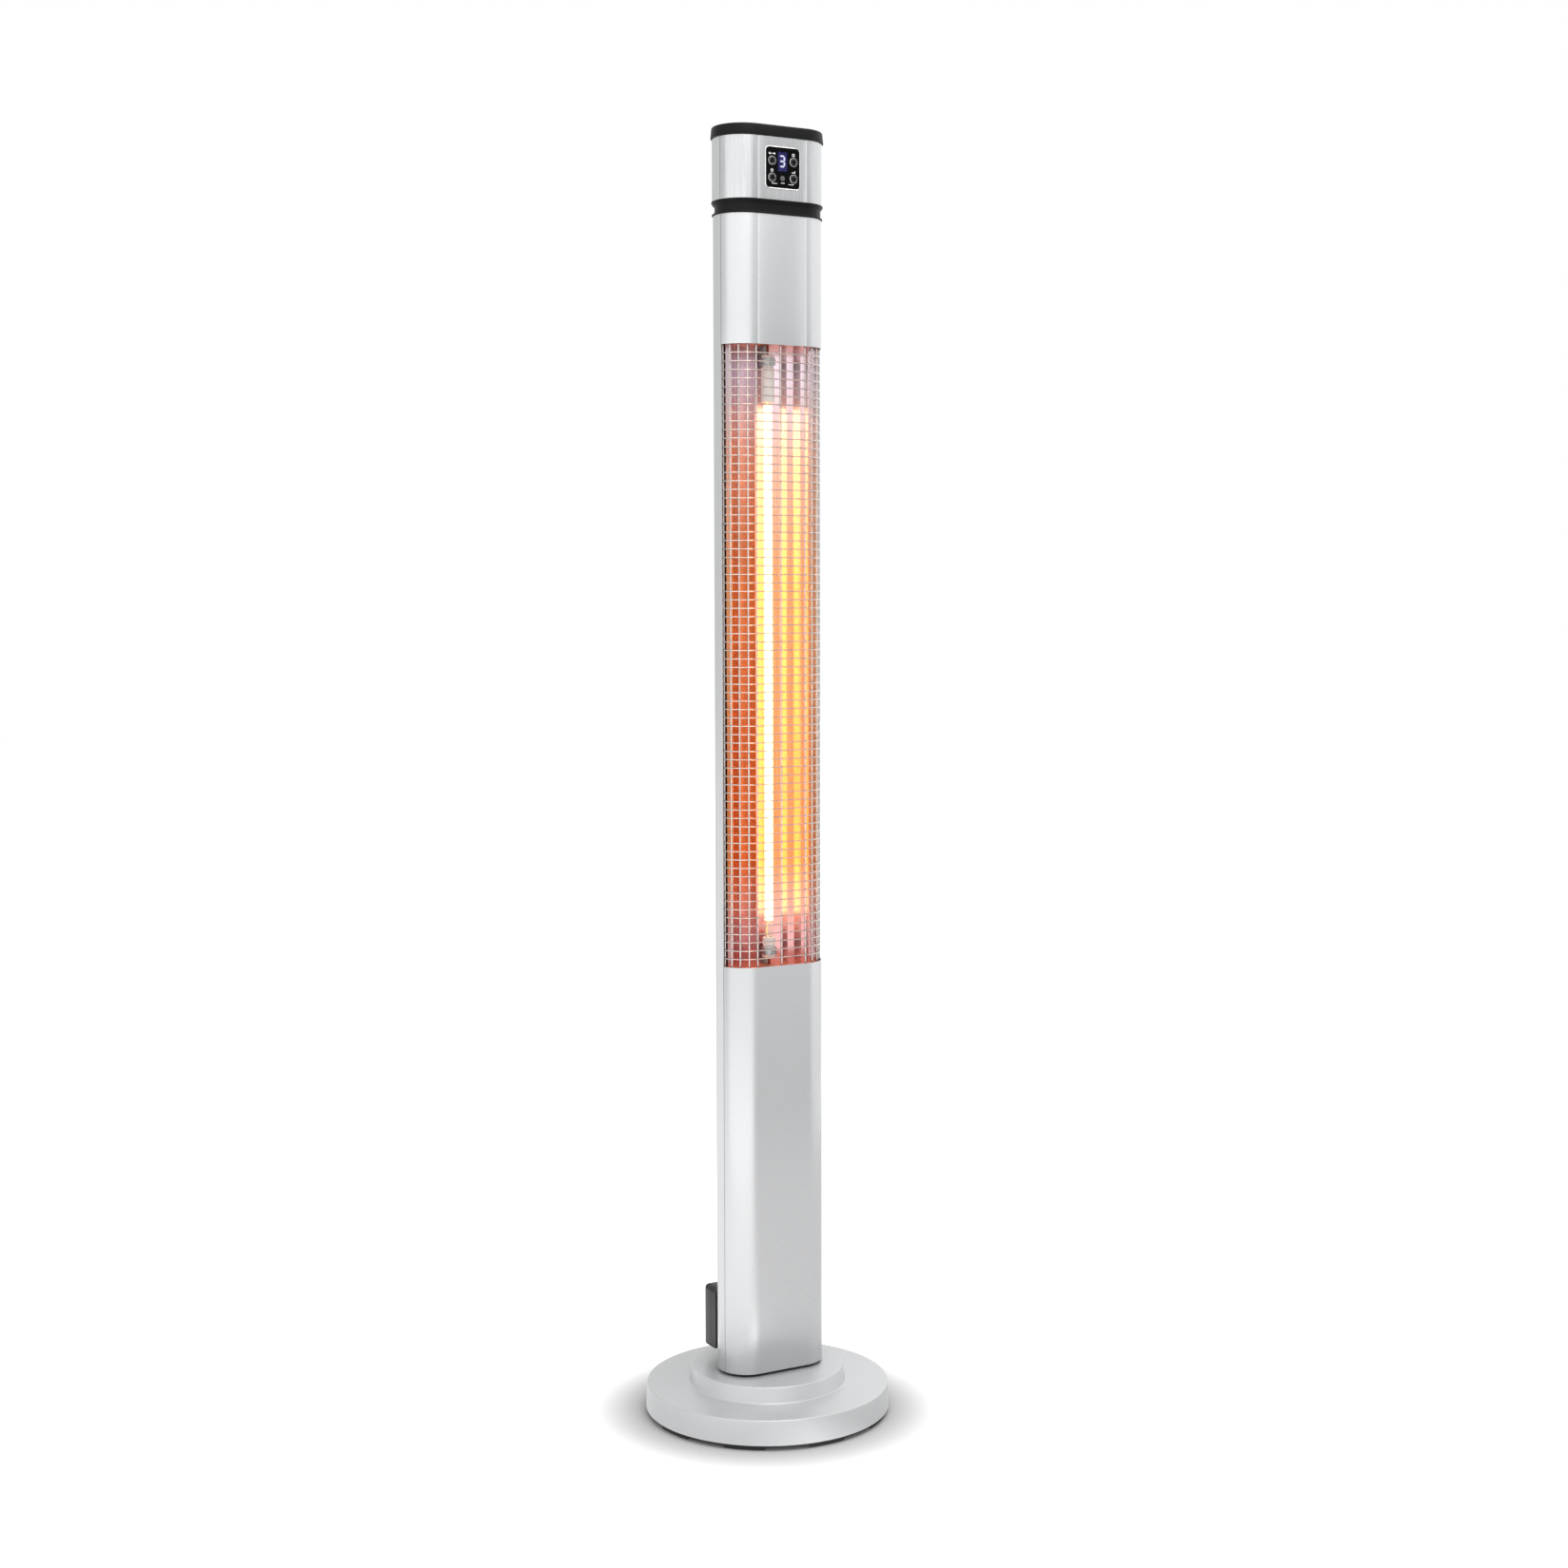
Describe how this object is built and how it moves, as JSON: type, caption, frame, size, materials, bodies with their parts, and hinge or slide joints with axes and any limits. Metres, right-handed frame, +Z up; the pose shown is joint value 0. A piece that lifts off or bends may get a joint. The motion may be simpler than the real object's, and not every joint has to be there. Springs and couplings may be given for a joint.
{
  "type": "infrared patio heater",
  "caption": "Free-standing infrared tower heater: round weighted base, swinging flat-oval column with a wire guard over a glowing tube, and a control head.",
  "frame": {"origin": "on the floor, under the middle of the round base", "axes": "+Z up along the column, -Y towards the front with the guard and controls, +X to the heater's left, which is the right of someone facing it"},
  "size_m": [0.3028, 0.3028, 1.5647],
  "materials": {
    "silver_paint": "fine metallic paint",
    "brushed_panel": "brushed",
    "black_steel": "satin black paint",
    "cast_iron": "rough cast",
    "rubber": "matt",
    "zinc_steel": "zinc plated",
    "galvanised_sheet": "galvanised",
    "die_cast": "as cast",
    "nylon": "natural nylon",
    "black_plastic": "fine grain",
    "bright_reflector": "polished",
    "quartz": "clear",
    "glowing_filament": "glowing",
    "ceramic": "unglazed white",
    "guard_wire": "plated wire",
    "lead_sleeve": "silicone sleeve",
    "bezel_metal": "bright",
    "black_gloss": "gloss",
    "display_tint": "tinted",
    "circuit_board": "solder resist",
    "component_black": "moulded",
    "button_black": "satin gloss"
  },
  "bodies": {
    "base": {"base_cover": "silver_paint", "base_weight": "cast_iron", "base_bottom_plate": "black_steel", "rubber_feet": "rubber", "base_screws": "zinc_steel", "pivot_housing": "die_cast", "pivot_bush": "nylon", "thrust_ring": "nylon", "swing_motor": "zinc_steel", "motor_bracket": "zinc_steel", "mechanism_screws": "zinc_steel", "motor_leads": "lead_sleeve"},
    "pinion": {"swing_pinion": "nylon"},
    "column": {"column_foot": "black_plastic", "pivot_tube": "zinc_steel", "spindle_screws": "zinc_steel", "swing_gear_sector": "nylon", "pivot_nut": "zinc_steel", "rear_shell": "silver_paint", "lower_front_panel": "silver_paint", "upper_front_panel": "silver_paint", "chamber_floor": "galvanised_sheet", "chamber_ceiling": "galvanised_sheet", "reflector": "bright_reflector", "heating_tube": "quartz", "filament": "glowing_filament", "tube_end_caps": "ceramic", "tube_clips": "zinc_steel", "tube_leads": "lead_sleeve", "wire_guard": "guard_wire", "thermal_cutout": "component_black", "tip_over_switch": "component_black", "wiring_harness": "lead_sleeve", "cable_clips": "black_plastic", "neck_collar": "black_plastic", "head_rear_shell": "silver_paint", "head_front_panel": "brushed_panel", "top_cap": "black_plastic", "shell_screws": "zinc_steel", "fascia_bezel": "bezel_metal", "control_fascia": "black_gloss", "display_window": "display_tint", "display_module": "display_tint", "ir_window": "black_gloss", "control_board": "circuit_board", "tact_switches": "component_black", "power_board": "circuit_board", "relays": "component_black", "heat_sink": "die_cast", "rear_box_gasket": "rubber", "rear_box_base": "black_plastic", "rear_box_cover": "black_plastic", "rear_box_screws": "zinc_steel", "terminal_block": "nylon", "cable_gland": "black_plastic", "gland_nut": "black_plastic"},
    "button_swing_body": {"button_swing": "button_black"},
    "button_timer_body": {"button_timer": "button_black"},
    "button_off_body": {"button_off": "button_black"},
    "button_mode_body": {"button_mode": "button_black"}
  },
  "joints": [
    {"name": "column_swing", "type": "hinge", "parent": "base", "child": "column", "pos_m": [0, 0, 0.0625], "axis": [0, 0, 1], "range_deg": [-35, 35]},
    {"name": "swing_pinion_turn", "type": "hinge", "parent": "base", "child": "pinion", "pos_m": [0, 0.0585, 0.038], "axis": [0, 0, 1], "range_deg": [-117, 117]},
    {"name": "button_swing_press", "type": "slide", "parent": "column", "child": "button_swing_body", "axis": [0, 1, 0], "range_m": [0, 0.001], "stiffness_N_per_m": 300},
    {"name": "button_timer_press", "type": "slide", "parent": "column", "child": "button_timer_body", "axis": [0, 1, 0], "range_m": [0, 0.001], "stiffness_N_per_m": 300},
    {"name": "button_off_press", "type": "slide", "parent": "column", "child": "button_off_body", "axis": [0, 1, 0], "range_m": [0, 0.001], "stiffness_N_per_m": 300},
    {"name": "button_mode_press", "type": "slide", "parent": "column", "child": "button_mode_body", "axis": [0, 1, 0], "range_m": [0, 0.001], "stiffness_N_per_m": 300}
  ],
  "couplings": [
    {"joint": "swing_pinion_turn", "follows": "column_swing", "ratio": -3.3333}
  ]
}
